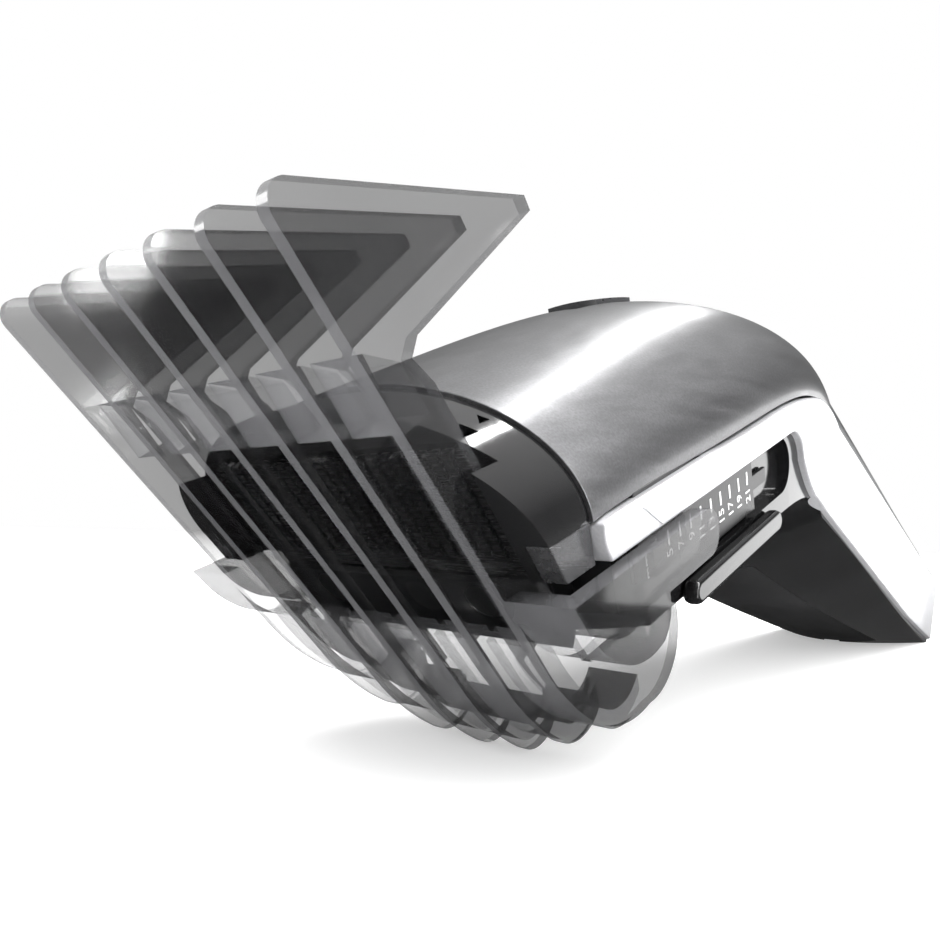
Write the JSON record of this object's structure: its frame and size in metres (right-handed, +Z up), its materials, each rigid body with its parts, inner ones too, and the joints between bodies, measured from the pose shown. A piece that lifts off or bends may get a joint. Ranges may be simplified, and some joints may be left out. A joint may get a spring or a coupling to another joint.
{
  "type": "hair clipper",
  "caption": "Cordless hair clipper with a bent handle, domed metallic body and a sliding clear comb with tall fin-shaped teeth.",
  "frame": {"origin": "middle of the footprint on the floor, under the clipper as it stands on its comb's heel and its handle's foot", "axes": "+X across the clipper to its right side, +Y rearward from the comb to the handle's end, +Z up"},
  "size_m": [0.0436, 0.183, 0.0473],
  "materials": {
    "silver_shell": "satin metallic lacquer",
    "bright_band": "satin chromed plastic",
    "trim_grey": "satin metallic lacquer",
    "black_gloss": "glossy moulded",
    "dark_cover": "fine satin texture",
    "black_satin": "satin moulded",
    "grip_rubber": "soft matt",
    "smoked_clear": "clear smoked moulding",
    "cutter_steel": "ground",
    "spring_steel": "cold rolled",
    "screw_steel": "zinc plated",
    "seal_rubber": "matt",
    "switch_cap": "satin ribbed",
    "light_lens": "frosted clear",
    "motor_can": "plated",
    "cell_wrap": "shrink sleeve",
    "contact_nickel": "nickel plated",
    "board": "solder resist",
    "board_black": "moulded"
  },
  "bodies": {
    "housing": {"top_shell": "silver_shell", "side_band_right": "bright_band", "side_band_left": "bright_band", "head_trim_right": "trim_grey", "head_trim_left": "trim_grey", "lower_housing": "black_gloss", "head_frame": "black_gloss", "guide_rail_right": "black_gloss", "guide_rail_left": "black_gloss", "rear_cover": "dark_cover", "head_cover_plate": "black_satin", "motor_bracket": "black_satin", "grip_pad": "grip_rubber", "guard_blade": "cutter_steel", "blade_springs": "spring_steel", "head_screws": "screw_steel", "housing_screws": "screw_steel", "head_gasket": "seal_rubber", "charge_light": "light_lens", "motor": "motor_can", "battery_cells": "cell_wrap", "cell_contacts": "contact_nickel", "socket_pins": "contact_nickel", "circuit_board": "board", "board_parts": "board_black", "switch_unit": "board_black", "charging_socket": "board_black"},
    "comb": {"comb": "smoked_clear"},
    "comb_carriage": {"comb_slider_right": "black_satin", "comb_slider_left": "black_satin"},
    "blade": {"moving_blade": "cutter_steel", "blade_carrier": "black_satin"},
    "rotor": {"motor_shaft": "spring_steel", "eccentric": "spring_steel"},
    "power_slider": {"power_slider": "switch_cap"}
  },
  "joints": [
    {"name": "comb_adjust", "type": "slide", "parent": "housing", "child": "comb_carriage", "axis": [0, -0.9373, -0.3486], "range_m": [0, 0.018]},
    {"name": "comb_pull_off", "type": "slide", "parent": "comb_carriage", "child": "comb", "axis": [0, -0.9373, -0.3486], "range_m": [0, 0.03]},
    {"name": "blade_stroke", "type": "slide", "parent": "housing", "child": "blade", "axis": [1, 0, 0], "range_m": [-0.001, 0.001]},
    {"name": "motor_spin", "type": "hinge", "parent": "housing", "child": "rotor", "pos_m": [0, -0.05959, 0.02468], "axis": [0, 0.9373, 0.3486], "continuous": true},
    {"name": "power_slide", "type": "slide", "parent": "housing", "child": "power_slider", "axis": [0, -0.9373, -0.3486], "range_m": [0, 0.004]}
  ]
}
